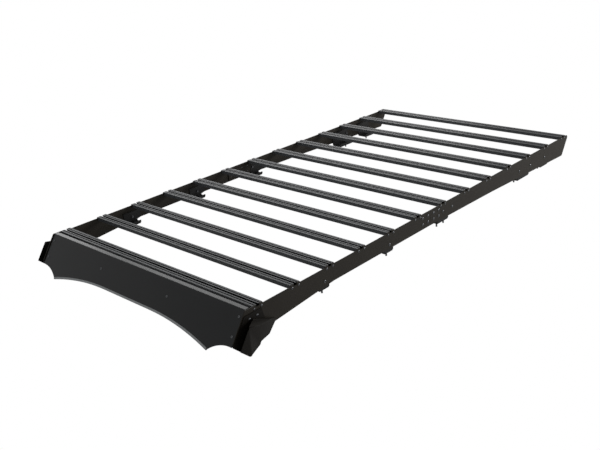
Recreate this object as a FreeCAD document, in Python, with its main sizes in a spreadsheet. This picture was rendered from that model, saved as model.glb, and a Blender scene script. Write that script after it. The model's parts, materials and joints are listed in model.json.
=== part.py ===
"""Slatted roof rack: cross slats between two side rails, a wind deflector, side scoops and feet.

Frame: +X to the right, -Y to the front, +Z up, in millimetres. The origin lies midway between the
rails, at half the overall length, level with the rack's lowest point.
"""
import FreeCAD, Part
import math
import os
import re

import Sketcher

SIZES = {
    # deck
    "deck_height": 154.7,       # slat tops above the lowest point
    "first_slat_y": -1125.65,   # centre of the front slat
    "slat_pitch": 197,
    "slat_count": 13,
    "front_slats": 6,           # slats carried by the front half of each rail
    # slat section
    "slat_length": 1250,
    "slat_width": 49,
    "slat_depth": 18,
    "slot_mouth": 8.5,
    "slot_width": 16,
    "slot_lip": 2.5,
    "slot_room": 6,
    "groove_start": 11.5,       # side groove, from the slat's centre line
    "groove_width": 3.5,
    "groove_depth": 3,
    "slat_wall": 2,
    "edge_lip": 4,              # height of the slat's overhanging edge
    "edge_step": 2,             # how far the edge stands out from the side wall
    "screw_spread": 36,         # between the two screws at a slat's end
    "screw_drop": 13,           # below the slat tops
    "port_half": 2.5,           # half the width across the flats of a screw port
    # side rails
    "rail_thickness": 3,
    "rail_top_drop": 5.6,
    "rail_drop": 78,            # underside along the middle, below the slat tops
    "rail_nose_drop": 105,      # underside at the front
    "nose_lead": 5,             # the nose stands proud of the deflector
    "rail_nose_length": 78,     # level underside of the nose, behind the front slat
    "rail_taper_length": 336,   # then it rises over this length
    "rail_sweep_length": 517,   # from the joint to where the underside starts to fall
    "rail_sweep_drop": 86,
    "rail_tail_drop": 110,      # underside at the rear
    "rear_overhang": 63,        # top corner behind the last slat
    "tail_slant": 67,           # how far the rear end leans forward at its foot
    "tail_top_radius": 12,
    "tail_foot_radius": 15,
    "rail_joint_gap": 0.8,
    "ear_width": 54,
    "ear_slope": 3,
    "ear_drop": 0.5,
    "slot_ease": 0.5,
    "screw_hole_radius": 3.3,
    # splice plates
    "splice_length": 160,
    "splice_thickness": 5,
    "splice_gap": 1.5,          # below the slats
    "splice_depth": 52,
    "splice_upper_drop": 26,
    "splice_lower_drop": 55,
    "splice_inner": 22,
    "splice_outer": 62,
    "bolt_square": 6.2,
    "bolt_ease": 0.3,
    # wind deflector
    "front_overhang": 58,       # its top front edge ahead of the front slat
    "deflector_lean": 35,
    "deflector_side_gap": 3,    # to each rail's inner face
    "deflector_gauge": 3,
    "deflector_flange": 20,
    "bend_radius": 5,
    "arch_flat": 150,
    "arch_depth": 137,
    "arch_radius": 1340,
    "spike_inset": 114,         # from the deflector's side edge
    "side_depth": 141,
    "side_radius": 152,
    "edge_screw_inset": 15,
    "edge_screw_upper": 30,
    "edge_screw_lower": 105,
    # edge trim
    "trim_height": 9,
    "trim_wall": 1.5,
    "trim_web": 2,
    # brackets and stays behind the deflector
    "bracket_gauge": 3,
    "bracket_leg": 35,
    "bracket_top": 4,
    "bracket_foot": 139,
    "bracket_web_foot": 17,     # width of the web at its foot
    "bracket_screw_drop": 39,
    "bracket_screw_front": 48,
    "bracket_screw_rear": 10.5,
    "bracket_boss": 12,         # web beyond the screws
    "stay_x": 219,
    "stay_width": 25,
    "stay_gauge": 3,
    "stay_screw": 63,
    "stay_leg_top": 50,
    "stay_leg_foot": 76,
    "stay_tab": 14,             # tab past its screw under the slat
    "stay_bend": 16,            # where the tab starts, ahead of the screw
    "stay_bend_set": 2,
    # side scoops
    "scoop_wall": 3,
    "scoop_reach": 60,          # before the flare trims it
    "scoop_crest_drop": 24,     # top of the mouth on the rail
    "scoop_chin_drop": 115,     # foot of the mouth
    "scoop_tail_back": 77,
    "scoop_tail_top": 90,
    "scoop_tail_foot": 102,
    "scoop_lobe_radius": 12,
    "scoop_shoulder_width": 50,
    "scoop_shoulder_drop": 32,
    "scoop_brow_drop": 51,      # the roof's front edge sweeps back above this
    "scoop_brow_back": 26,
    "scoop_brow_front": 92,
    "scoop_flange_drop": 20,
    "scoop_flange_foot": 95,
    "scoop_flange_back": 14,
    "scoop_flange_foot_back": 20,
    "hollow_lead": 10,          # how far the hollow is cut ahead of the mouth
    "hollow_crest_drop": 31,
    "hollow_tail_back": 15,
    "hollow_tail_top": 73,
    "hollow_tail_foot": 121,
    # feet
    "foot_gauge": 4,
    "foot_reach_front": 34,
    "foot_reach_rear": 62,
    "foot_lip": 11,             # height of the base's upturned inner lip
    "foot_leg_drop": 34,        # top of the leg below the slat tops
    "foot_waist": 15,           # where the leg narrows, above the base's underside
    "foot_shoulder": 10,        # where it is as narrow as the base
    "foot_drop_front": 91,      # underside of the base below the slat tops
    "foot_drop_rear": 107,
    "foot_bolt_inset": 14,
    "foot_1_back": 360,         # behind the front slat
    "foot_2_back": 777,
    "foot_3_gap": 4,            # behind the splice plate
    "foot_4_ahead": 439,        # ahead of the last slat
    "foot_5_ahead": 209,
    "stud_inset_front": 17,     # from the rail's inner face
    "stud_inset_rear": 35,
    "stud_spacing": 54,
    "stud_radius": 4,
    "stud_hole_radius": 5.4,
    "stud_length": 29,
    "stud_head_radius": 7.5,
    "stud_head_height": 5.3,
    "pad_thickness": 5,
    "pad_margin": 2,
    # fasteners
    "button_radius": 5.25,
    "button_height": 3.3,
    "screw_radius": 2.4,
    "slat_screw_length": 22,
    "bolt_head_radius": 6.5,
    "bolt_head_height": 3.5,
    "nut_radius": 5.77,
    "nut_height": 5,
    "screw_ease": 0.3,
}

# Each table's fields become sizes named table_field_number.
TABLES = {
    # the scoop's underside from its tail to its lobe: behind the front slat, and below the slat tops
    "scoop_belly": (("back", "drop"), [(24, 127), (-32, 125), (-42, 137), (-86, 150), (-106, 146)]),
    # the scoop's outline from above: behind the front slat, and out from the rail
    "scoop_flare": (("back", "reach"), [(77, 2), (25, 20), (-34, 36), (-92, 44), (-150, 44)]),
    # the ends of each foot's base and leg from its centre line, and how far down its bolts are
    "foot": (("base_front", "base_rear", "leg_front", "leg_rear", "bolt_drop"), [
        (-30, 28, -48, 50, 60), (-30, 28, -48, 50, 60), (-44, 44, -17, 86, 44),
        (-53, 65, -56, 88, 62), (-35, 45, -37, 69, 62)]),
}
for table, (fields, rows) in TABLES.items():
    for number, entries in enumerate(rows, start=1):
        for field, entry in zip(fields, entries):
            SIZES[f"{table}_{field}_{number}"] = entry

SIDES = {"left": -1, "right": 1}
doc = FreeCAD.newDocument("RoofRack")
sheet = doc.addObject("Spreadsheet::Sheet", "Sizes")
for row, (alias, number) in enumerate(SIZES.items(), start=1):
    sheet.set(f"A{row}", alias)
    sheet.set(f"B{row}", str(number))
    sheet.setAlias(f"B{row}", alias)
doc.recompute()
nodes = []

# Places along the rack and heights, as expressions.
JOINT_Y = "(first_slat_y + (front_slats - 0.5) * slat_pitch)"
LAST_Y = "(first_slat_y + (slat_count - 1) * slat_pitch)"
RAIL_TOP = "(deck_height - rail_top_drop)"
NOSE_Y = "(first_slat_y - front_overhang)"
SHEET_HALF = "(slat_length / 2 - deflector_side_gap)"
SPIKE_X = f"({SHEET_HALF} - spike_inset)"


# ---------------------------------------------------------------- helpers
def bound(text):
    """The expression with every size's name led by the sheet's name."""
    return re.sub(r"[a-z][a-z_0-9]*", lambda m: f"Sizes.{m[0]}" if m[0] in SIZES else m[0], str(text))


def value(text):
    """The number that an expression of sizes stands for."""
    return float(sheet.evalExpression(bound(text)))


def bind(thing, **properties):
    """Bind each property to its expression; a double underscore in a name stands for a dot."""
    for path, text in properties.items():
        thing.setExpression(path.replace("__", "."), bound(text))


def place(thing, x=0, y=0, z=0, tilt=None):
    """Bind the Placement to the sheet; tilt turns the thing about X, in degrees."""
    if tilt is not None:
        thing.Placement = FreeCAD.Placement(
            FreeCAD.Vector(), FreeCAD.Rotation(FreeCAD.Vector(1, 0, 0), value(tilt)))
        bind(thing, Placement__Rotation__Angle=tilt)
    bind(thing, Placement__Base__x=x, Placement__Base__y=y, Placement__Base__z=z)


def below(drop):
    """Height of what lies this far below the slat tops."""
    return f"deck_height - ({drop})"


def node(thing, name):
    """Name a finished sub-part and list it for export."""
    thing.Label = name
    nodes.append(thing)
    return thing


def new_body(name):
    return node(doc.addObject("PartDesign::Body", f"{name}_body"), name)


def sketch_in(body, plane, name, offset=None):
    """A sketch on one of the body's own origin planes, lifted by offset along the plane's normal."""
    sketch = body.newObject("Sketcher::SketchObject", name)
    support = next(part for part in body.Origin.OriginFeatures if part.Role == f"{plane}_Plane")
    sketch.AttachmentSupport = [(support, "")]
    sketch.MapMode = "FlatFace"
    if offset is not None:
        bind(sketch, AttachmentOffset__Base__z=offset)
    return sketch


def outline(sketch, corners):
    """Draw a closed outline through corners (x, y) held by expressions.

    A third entry is the radius of an arc to the next corner: positive turns left, negative right.
    """
    base = sketch.GeometryCount
    count = len(corners)
    points = [FreeCAD.Vector(value(corner[0]), value(corner[1]), 0) for corner in corners]
    pieces = []
    heads = []
    tails = []
    rounds = []
    for index, corner in enumerate(corners):
        start, end = points[index], points[(index + 1) % count]
        forward = len(corner) == 2 or value(corner[2]) > 0
        if len(corner) == 2:
            pieces.append(Part.LineSegment(start, end))
        else:
            radius = abs(value(corner[2]))
            half = (end - start) * 0.5
            left = FreeCAD.Vector(-half.y, half.x, 0).normalize()
            rise = math.sqrt(radius**2 - half.Length**2) * (1 if forward else -1)
            centre = start + half + left * rise
            first, last = (start, end) if forward else (end, start)
            angles = [math.atan2(p.y - centre.y, p.x - centre.x) for p in (first, last)]
            circle = Part.Circle(centre, FreeCAD.Vector(0, 0, 1), radius)
            pieces.append(Part.ArcOfCircle(circle, angles[0], angles[1]))
            rounds.append((base + index, f"abs({corner[2]})"))
        heads.append(1 if forward else 2)
        tails.append(2 if forward else 1)
    sketch.addGeometry(pieces)
    for index in range(count):
        after = (index + 1) % count
        sketch.addConstraint(
            Sketcher.Constraint("Coincident", base + index, tails[index], base + after, heads[after]))
    for index, (corner, point) in enumerate(zip(corners, points)):
        for axis, text, number in (("X", corner[0], point.x), ("Y", corner[1], point.y)):
            hold(sketch, Sketcher.Constraint(f"Distance{axis}", -1, 1, base + index, heads[index], number),
                 text)
    for piece, text in rounds:
        hold(sketch, Sketcher.Constraint("Radius", piece, value(text)), text)


def hold(sketch, constraint, text):
    """Add a size constraint and bind it to its expression."""
    index = sketch.addConstraint(constraint)
    sketch.setExpression(f"Constraints[{index}]", bound(text))


def screw_hole(sketch, x, y):
    """A six-sided hole for a screw's shank; the head covers it."""
    outline(sketch, ring_corners(x, y, "screw_hole_radius", 6))


def box_corners(x0, x1, y0, y1):
    return [(x0, y0), (x1, y0), (x1, y1), (x0, y1)]


def ring_corners(x, y, radius, sides):
    """Corners of a regular polygon whose flats touch a circle of this radius."""
    reach = f"({radius}) / cos({180 / sides})"
    turns = [360 * (side + 0.5) / sides for side in range(sides)]
    return [(f"{x} + {reach} * cos({turn})", f"{y} + {reach} * sin({turn})") for turn in turns]


def square_corners(x, y, side):
    half = f"({side}) / 2"
    return box_corners(f"{x} - {half}", f"{x} + {half}", f"{y} - {half}", f"{y} + {half}")


def pad(body, sketch, name, length, symmetric=False, reverse=False):
    feature = body.newObject("PartDesign::Pad", name)
    feature.Profile = sketch
    feature.SideType = "Symmetric" if symmetric else "One side"
    feature.Reversed = reverse
    bind(feature, Length=length)
    return feature


def cut_through(body, sketch, name):
    """Cut the sketch through the whole body, both ways from its plane."""
    feature = body.newObject("PartDesign::Pocket", name)
    feature.Profile = sketch
    feature.SideType = "Symmetric"
    feature.Type = "ThroughAll"
    return feature


def round_edges(body, name, radius, wanted):
    """Fillet the edges of the body's latest solid that the test picks."""
    doc.recompute()
    tip = body.Tip
    edges = [f"Edge{i}" for i, edge in enumerate(tip.Shape.Edges, start=1) if wanted(edge)]
    fillet = body.newObject("PartDesign::Fillet", name)
    fillet.Base = (tip, edges)
    bind(fillet, Radius=radius)
    return fillet


def along_x(edge, y, z, reach=0.1):
    """Whether a straight edge runs along X at this y and z."""
    ends = [vertex.Point for vertex in edge.Vertexes]
    if len(ends) != 2 or abs(ends[0].x - ends[1].x) < 1:
        return False
    return all(math.hypot(end.y - y, end.z - z) < reach for end in ends)


# ---------------------------------------------------------------- cross slats
def half_slat():
    """Right half of the slat's outer profile, from the slot's floor to the underside; top at z = 0."""
    half = "slat_width / 2"
    side = "(slat_width / 2 - edge_step)"
    floor = "-(slot_lip + slot_room)"
    groove_end = "groove_start + groove_width"
    return [
        ("slot_width / 2", floor), ("slot_width / 2", "-slot_lip"),
        ("slot_mouth / 2", "-slot_lip"), ("slot_mouth / 2", "0"),
        ("groove_start", "0"), ("groove_start", "-groove_depth"),
        (groove_end, "-groove_depth"), (groove_end, "0"),
        (half, "0"), (half, "-edge_lip"), (side, "-(edge_lip + edge_step)"), (side, "-slat_depth"),
    ]


def slat_profile():
    """One extruded section with a T-slot, two closed chambers, a middle one and two screw ports."""
    sketch = doc.addObject("Sketcher::SketchObject", "slat_profile")
    sketch.Placement.Rotation = FreeCAD.Rotation(FreeCAD.Vector(1, 1, 1), 120)
    right = half_slat()
    left = [(f"-({x})", y) for x, y in reversed(right)]
    outline(sketch, right + left)
    floor = "-(slot_lip + slot_room + slat_wall)"
    sill = "-(slat_depth - slat_wall)"
    port_top = "-(screw_drop - port_half - slat_wall)"
    for sign in (-1, 1):
        inner = f"{sign} * (slot_width / 2 + slat_wall)"
        outer = f"{sign} * (slat_width / 2 - edge_step - slat_wall)"
        port_side = f"{sign} * (screw_spread / 2 - port_half - slat_wall)"
        outline(sketch, [
            (inner, "-(groove_depth + slat_wall)"), (outer, "-(groove_depth + slat_wall)"),
            (outer, port_top), (port_side, port_top), (port_side, sill), (inner, sill)])
        outline(sketch, ring_corners(f"{sign} * screw_spread / 2", "-screw_drop", "port_half", 6))
    outline(sketch, box_corners("-slot_width / 2", "slot_width / 2", sill, floor))
    return sketch


def slat_bar(profile, name, number):
    bar = doc.addObject("Part::Extrusion", name)
    bar.Base = profile
    bar.DirMode = "Custom"
    bar.Dir = FreeCAD.Vector(1, 0, 0)
    bar.Solid = True
    bar.Symmetric = True
    bind(bar, LengthFwd="slat_length")
    place(bar, y=f"first_slat_y + {number - 1} * slat_pitch", z="deck_height")
    return bar


def cross_slats():
    """The slats; the front one is drilled underneath for the deflector's stays."""
    profile = slat_profile()
    for number in range(1, int(value("slat_count")) + 1):
        name = f"slat_{number:02d}"
        if number > 1:
            node(slat_bar(profile, f"{name}_bar", number), name)
            continue
        bar = slat_bar(profile, f"{name}_bar", number)
        for side, sign in SIDES.items():
            drill = doc.addObject("Part::Prism", f"stay_drill_{side}")
            bind(drill, Circumradius="screw_radius + screw_ease", Height="slat_wall * 2")
            place(drill, x=f"{sign} * stay_x", y="first_slat_y", z=below("slat_depth + slat_wall / 2"))
            cut = doc.addObject("Part::Cut", f"{name}_{side}_drilled")
            cut.Base = bar
            cut.Tool = drill
            bar = cut
        node(bar, name)


# ---------------------------------------------------------------- side rails
def rail_corners(part):
    """Outline of a rail half in the plane of its length and height."""
    foot = "deck_height - rail_nose_drop"
    taper = "first_slat_y + rail_nose_length"
    middle = "deck_height - rail_drop"
    if part == "front":
        end = f"{JOINT_Y} - rail_joint_gap / 2"
        edge = f"{NOSE_Y} - nose_lead"
        return [
            (f"{edge} - ear_drop * tan(deflector_lean)", below("ear_drop")),
            (f"{edge} - rail_nose_drop * tan(deflector_lean)", foot), (taper, foot),
            (f"{taper} + rail_taper_length", middle), (end, middle), (end, RAIL_TOP),
            ("first_slat_y", RAIL_TOP), ("first_slat_y", below("ear_drop"))]
    end = f"{JOINT_Y} + rail_joint_gap / 2"
    return [
        (end, RAIL_TOP), (end, middle), (f"{JOINT_Y} + rail_sweep_length", "deck_height - rail_sweep_drop"),
        (f"{LAST_Y} + rear_overhang - tail_slant", "deck_height - rail_tail_drop"),
        (f"{LAST_Y} + rear_overhang", RAIL_TOP)]


def rail_ears(body, part):
    """One raised ear per slat, notched at the T-slot and drilled for two screws, then repeated."""
    first = 1 if part == "front" else int(value("front_slats")) + 1
    count = "front_slats" if part == "front" else "slat_count - front_slats"
    centre = f"(first_slat_y + {first - 1} * slat_pitch)"
    half = "ear_width / 2"
    base = f"{RAIL_TOP} - 1"
    crest = "deck_height - ear_drop"
    ear = sketch_in(body, "YZ", "ear_outline")
    outline(ear, [
        (f"{centre} - {half}", base), (f"{centre} + {half}", base),
        (f"{centre} + {half} - ear_slope", crest), (f"{centre} - {half} + ear_slope", crest)])
    raised = pad(body, ear, "ear", "rail_thickness")
    notch = sketch_in(body, "YZ", "notch_outline")
    gap = "(slot_width / 2 + slot_ease)"
    outline(notch, box_corners(
        f"{centre} - {gap}", f"{centre} + {gap}",
        "deck_height - slot_lip - slot_room - slot_ease", "deck_height + 1"))
    opened = cut_through(body, notch, "notch")
    holes = sketch_in(body, "YZ", "slat_screw_holes")
    for sign in (-1, 1):
        screw_hole(holes, f"{centre} + {sign} * screw_spread / 2", "deck_height - screw_drop")
    drilled = cut_through(body, holes, "slat_screw_cut")
    pattern = body.newObject("PartDesign::LinearPattern", "ears")
    pattern.Originals = [raised, opened, drilled]
    pattern.Direction = (ear, ["H_Axis"])
    bind(pattern, Length=f"({count} - 1) * slat_pitch", Occurrences=count)
    body.Tip = pattern


def feet_on(part):
    return (1, 2) if part == "front" else (3, 4, 5)


def side_rail(side, part):
    body = new_body(f"side_rail_{side}_{part}")
    plate = sketch_in(body, "YZ", "rail_outline")
    outline(plate, rail_corners(part))
    pad(body, plate, "rail_plate", "rail_thickness")
    rail_ears(body, part)
    holes = sketch_in(body, "YZ", "bolt_holes")
    sign = -1 if part == "front" else 1
    for offset in ("splice_inner", "splice_outer"):
        for drop in ("splice_upper_drop", "splice_lower_drop"):
            outline(holes, square_corners(
                f"{JOINT_Y} + {sign} * {offset}", f"deck_height - {drop}", "bolt_square + bolt_ease"))
    for station in feet_on(part):
        for y, z in foot_bolt_places(station):
            outline(holes, square_corners(y, z, "bolt_square + bolt_ease"))
    cut_through(body, holes, "bolt_cut")
    if part == "front":
        scoop_holes = sketch_in(body, "YZ", "scoop_screw_holes")
        for ahead in ("bracket_screw_front", "bracket_screw_rear"):
            screw_hole(scoop_holes, f"first_slat_y - {ahead}", "deck_height - bracket_screw_drop")
        cut_through(body, scoop_holes, "scoop_screw_cut")
    else:
        round_tail(body)
    inner = "slat_length / 2"
    place(body, x=inner if side == "right" else f"-({inner} + rail_thickness)")


def round_tail(body):
    """Round the two corners of the rail's slanted rear end."""
    corners = rail_corners("rear")
    foot = [value(text) for text in corners[3]]
    top = [value(text) for text in corners[4]]
    round_edges(body, "tail_top_round", "tail_top_radius", lambda edge: along_x(edge, *top))
    round_edges(body, "tail_foot_round", "tail_foot_radius", lambda edge: along_x(edge, *foot))


def splice_plate(side):
    """Inner plate across the joint of a rail's halves, tapped for its bolts."""
    body = new_body(f"splice_plate_{side}")
    plate = sketch_in(body, "YZ", "splice_outline")
    top = "deck_height - slat_depth - splice_gap"
    outline(plate, box_corners(
        f"{JOINT_Y} - splice_length / 2", f"{JOINT_Y} + splice_length / 2", f"{top} - splice_depth", top))
    for y, z in splice_bolt_places():
        outline(plate, square_corners(y, z, "bolt_square + bolt_ease"))
    pad(body, plate, "splice", "splice_thickness", reverse=side == "right")
    place(body, x=f"{SIDES[side]} * slat_length / 2")


def splice_bolt_places():
    return [
        (f"{JOINT_Y} + {sign} * {offset}", f"deck_height - {drop}")
        for sign in (-1, 1)
        for offset in ("splice_inner", "splice_outer")
        for drop in ("splice_upper_drop", "splice_lower_drop")]


# ---------------------------------------------------------------- wind deflector
def at_nose(body, x=0):
    """Stand a body at the deflector's top front edge, leaning with its plate.

    In the body's own frame Y runs back through the plate and Z up along it.
    """
    place(body, x=x, y=NOSE_Y, z="deck_height", tilt="-deflector_lean")


def level(back, up):
    """A point given level with the ground, as a point of the leaning frame."""
    across = f"(({back}) * cos(deflector_lean) - ({up}) * sin(deflector_lean))"
    along = f"(({back}) * sin(deflector_lean) + ({up}) * cos(deflector_lean))"
    return across, along


def arch_height(rise):
    """Height at the spike of a line that runs rise above the trim's lower edge."""
    radius = f"(arch_radius + {rise})"
    return f"(-(arch_depth + arch_radius) + sqrt({radius} ^ 2 - ({SPIKE_X} - arch_flat) ^ 2))"


def arch_band(sketch, low, high):
    """A band along the arch, between two rises above the trim's lower edge."""
    low_level = f"-(arch_depth - {low})"
    high_level = f"-(arch_depth - {high})"
    low_arc = f"arch_radius + {low}"
    high_arc = f"arch_radius + {high}"
    outline(sketch, [
        ("-arch_flat", low_level), ("arch_flat", low_level, f"-({low_arc})"),
        (SPIKE_X, arch_height(low)), (SPIKE_X, arch_height(high), high_arc),
        ("arch_flat", high_level), ("-arch_flat", high_level, high_arc),
        (f"-{SPIKE_X}", arch_height(high)), (f"-{SPIKE_X}", arch_height(low), f"-({low_arc})")])


def wind_deflector():
    """A bent sheet: a top flange and a leaning plate, trimmed to an arch between two spikes."""
    body = new_body("wind_deflector")
    gauge = "deflector_gauge"
    tip = arch_height("trim_web")
    profile = sketch_in(body, "YZ", "bend_profile")
    outline(profile, [
        ("0", "0"), ("0", tip), (gauge, tip),
        (gauge, f"{gauge} * (tan(deflector_lean) - 1 / cos(deflector_lean))"),
        level("deflector_flange", f"-{gauge}"), level("deflector_flange", "0")])
    pad(body, profile, "bent_sheet", f"2 * {SHEET_HALF}", symmetric=True)
    trimmed = sketch_in(body, "XZ", "arch_outline")
    clear = "slat_length / 2"
    plate_arc = "-(arch_radius + trim_web)"
    flat = "-(arch_depth - trim_web)"
    below = f"{tip} - 5"
    outline(trimmed, [
        ("arch_flat", flat, plate_arc), (SPIKE_X, tip, "-side_radius"), (SHEET_HALF, "-side_depth"),
        (clear, "-side_depth"), (clear, below), (f"-({clear})", below), (f"-({clear})", "-side_depth"),
        (f"-{SHEET_HALF}", "-side_depth", "-side_radius"), (f"-{SPIKE_X}", tip, plate_arc),
        ("-arch_flat", flat)])
    cut_through(body, trimmed, "arch_cut")
    holes = sketch_in(body, "XZ", "face_holes")
    for x, z in deflector_screw_places() + stay_screw_places():
        screw_hole(holes, x, z)
    cut_through(body, holes, "face_hole_cut")
    round_edges(body, "bend", "bend_radius", lambda edge: along_x(edge, 0, 0))
    at_nose(body)


def deflector_screw_places():
    return [
        (f"{sign} * ({SHEET_HALF} - edge_screw_inset)", f"-{depth}")
        for sign in SIDES.values() for depth in ("edge_screw_upper", "edge_screw_lower")]


def stay_screw_places():
    return [(f"{sign} * stay_x", "-stay_screw") for sign in SIDES.values()]


def deflector_edge_trim():
    """A rubber strip of U section pushed on to the arch."""
    body = new_body("deflector_edge_trim")
    middle = "-deflector_gauge / 2"
    strip = sketch_in(body, "XZ", "strip_outline", offset=middle)
    arch_band(strip, "0", "trim_height")
    pad(body, strip, "strip", "deflector_gauge + 2 * trim_wall", symmetric=True)
    slot = sketch_in(body, "XZ", "slot_outline", offset=middle)
    arch_band(slot, "trim_web", "(trim_height + 1)")
    groove = body.newObject("PartDesign::Pocket", "slot")
    groove.Profile = slot
    groove.SideType = "Symmetric"
    bind(groove, Length="deflector_gauge")
    at_nose(body)


def deflector_bracket(side):
    """An angle behind the deflector's edge: one leg on the plate, one on the rail."""
    sign = SIDES[side]
    body = new_body(f"deflector_bracket_{side}")
    face = sketch_in(body, "XZ", "face_leg_outline", offset="-deflector_gauge")
    outer = f"{-sign} * bracket_leg"
    outline(face, box_corners("0", outer, "-bracket_foot", "-bracket_top"))
    for depth in ("edge_screw_upper", "edge_screw_lower"):
        inset = f"-({sign}) * (deflector_side_gap + edge_screw_inset)"
        screw_hole(face, inset, f"-{depth}")
    pad(body, face, "face_leg", "bracket_gauge", reverse=True)
    web = sketch_in(body, "YZ", "rail_leg_outline")
    rear = "front_overhang - bracket_screw_rear"
    boss_top = "bracket_boss - bracket_screw_drop"
    outline(web, [
        ("deflector_gauge", "-bracket_foot"), ("deflector_gauge + bracket_web_foot", "-bracket_foot"),
        level(f"{rear} + bracket_boss", "-bracket_screw_drop - bracket_boss"),
        level(f"{rear} + bracket_boss", boss_top),
        level("front_overhang - bracket_screw_front - bracket_boss / 2", boss_top),
        ("deflector_gauge", "-bracket_top")])
    for ahead in ("bracket_screw_front", "bracket_screw_rear"):
        y, z = level(f"front_overhang - {ahead}", "-bracket_screw_drop")
        screw_hole(web, y, z)
    pad(body, web, "rail_leg", "bracket_gauge", reverse=side == "right")
    at_nose(body, x=f"{sign} * slat_length / 2")


def deflector_stay(side):
    """A folded strip from the deflector's face back and up to the underside of the front slat."""
    body = new_body(f"deflector_stay_{side}")
    front = "deflector_gauge"
    back = f"({front} + stay_gauge)"
    profile = sketch_in(body, "YZ", "stay_profile")
    under = "-slat_depth"
    tab_foot = f"{under} - stay_gauge"
    tab_end = "front_overhang + stay_tab"
    outline(profile, [
        (front, "-stay_leg_foot"), (back, "-stay_leg_foot"), (back, "-stay_leg_top"),
        level("front_overhang - stay_bend", tab_foot), level(tab_end, tab_foot), level(tab_end, under),
        level("front_overhang - stay_bend - stay_bend_set", under), (front, "-stay_leg_top")])
    pad(body, profile, "strip", "stay_width", symmetric=True)
    hole = sketch_in(body, "XZ", "face_hole")
    screw_hole(hole, "0", "-stay_screw")
    cut_through(body, hole, "face_hole_cut")
    drill = body.newObject("PartDesign::SubtractivePrism", "slat_hole")
    drill.Polygon = 6
    bind(drill, Circumradius="screw_hole_radius", Height="2 * stay_gauge")
    y, z = level("front_overhang", f"{under} - 1.5 * stay_gauge")
    place(drill, y=y, z=z, tilt="deflector_lean")
    at_nose(body, x=f"{SIDES[side]} * stay_x")


# ---------------------------------------------------------------- side scoops
def mouth_corner(drop, lead="0"):
    """Corner of the scoop's mouth, on the deflector's plane or ahead of it."""
    return f"{NOSE_Y} - ({drop}) * tan(deflector_lean) - {lead}", below(drop)


def pod(name, top, tail, inset="0", lead="0"):
    """The scoop's outer form, or its hollow when it is inset by the wall: right side, rail at x = 0."""
    body = doc.addObject("PartDesign::Body", name)
    profile = sketch_in(body, "YZ", "pod_profile", offset=inset)
    rear, rear_top, rear_foot = tail
    corners = [mouth_corner(top, lead), (f"first_slat_y + {rear}", below(rear_top)),
               (f"first_slat_y + {rear}", below(rear_foot))]
    for number in range(1, 6):
        corner = (f"first_slat_y + scoop_belly_back_{number}", below(f"scoop_belly_drop_{number} - {inset}"))
        if value(corner[0]) < value(corners[1][0]):
            corners.append(corner)
    corners[-2] += ("-scoop_lobe_radius",)
    outline(profile, corners + [mouth_corner(f"scoop_chin_drop - {inset}", lead)])
    pad(body, profile, "pod", "scoop_reach")
    crest = [value(text) for text in corners[0]], [value(text) for text in corners[1]]
    doc.recompute()
    tip = body.Tip
    edges = [
        f"Edge{number}" for number, edge in enumerate(tip.Shape.Edges, start=1)
        if all(vertex.X > value("scoop_reach") - 1 for vertex in edge.Vertexes)
        and {round(vertex.Y, 2) for vertex in edge.Vertexes} == {round(end[0], 2) for end in crest}]
    shoulder = body.newObject("PartDesign::Chamfer", "shoulder")
    shoulder.Base = (tip, edges)
    shoulder.ChamferType = "Two distances"
    bind(shoulder, Size="scoop_shoulder_width", Size2="scoop_shoulder_drop")
    flare = sketch_in(body, "XY", "flare_outline")
    line = [(f"scoop_flare_reach_{number} - {inset}", f"first_slat_y + scoop_flare_back_{number}")
            for number in range(1, 6)]
    past = "2 * scoop_reach"
    ahead = "first_slat_y + scoop_flare_back_5 - scoop_reach"
    behind = "first_slat_y + scoop_flare_back_1 + scoop_wall"
    outline(flare, line + [
        (f"scoop_flare_reach_5 - {inset}", ahead), (past, ahead), (past, behind),
        (f"scoop_flare_reach_1 - {inset}", behind)])
    cut_through(body, flare, "flare_cut")
    return body


def scoop():
    """A hollow pod that flares out of the rail's nose, open at the front, with a flange on the rail."""
    outer = pod("scoop_form", "scoop_crest_drop", ("scoop_tail_back", "scoop_tail_top", "scoop_tail_foot"))
    brow = sketch_in(outer, "XY", "brow_outline", offset=below("scoop_brow_drop"))
    front = "first_slat_y - scoop_brow_front"
    ahead = f"{NOSE_Y} - scoop_brow_drop"
    outline(brow, [
        ("scoop_wall", "first_slat_y - scoop_brow_back"), ("scoop_wall", ahead), ("scoop_reach", ahead),
        ("scoop_reach", front), ("scoop_flare_reach_4", front)])
    opening = outer.newObject("PartDesign::Pocket", "brow_cut")
    opening.Profile = brow
    opening.Reversed = True
    bind(opening, Length="scoop_brow_drop")
    flange = sketch_in(outer, "YZ", "flange_outline")
    rear = "first_slat_y + scoop_flange_back"
    outline(flange, [
        mouth_corner("scoop_flange_drop"), mouth_corner("scoop_flange_foot"),
        (f"{rear} + scoop_flange_foot_back", below("scoop_flange_foot")),
        (rear, below("scoop_flange_drop"))])
    pad(outer, flange, "flange", "scoop_wall")
    holes = sketch_in(outer, "YZ", "screw_holes")
    for ahead in ("bracket_screw_front", "bracket_screw_rear"):
        screw_hole(holes, f"first_slat_y - {ahead}", below("bracket_screw_drop"))
    cut_through(outer, holes, "screw_hole_cut")
    hollow = pod("scoop_hollow", "hollow_crest_drop",
                 ("hollow_tail_back", "hollow_tail_top", "hollow_tail_foot"), "scoop_wall", "hollow_lead")
    shell = doc.addObject("Part::Cut", "scoop_shell")
    shell.Base, shell.Tool = outer, hollow
    return shell


def side_scoops():
    """The right scoop and its mirror image."""
    shell = scoop()
    place(shell, x="slat_length / 2 + rail_thickness")
    node(shell, "side_scoop_right")
    mirrored = doc.addObject("Part::Mirroring", "scoop_mirrored")
    mirrored.Source = shell
    mirrored.Normal = FreeCAD.Vector(1, 0, 0)
    node(mirrored, "side_scoop_left")


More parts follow.
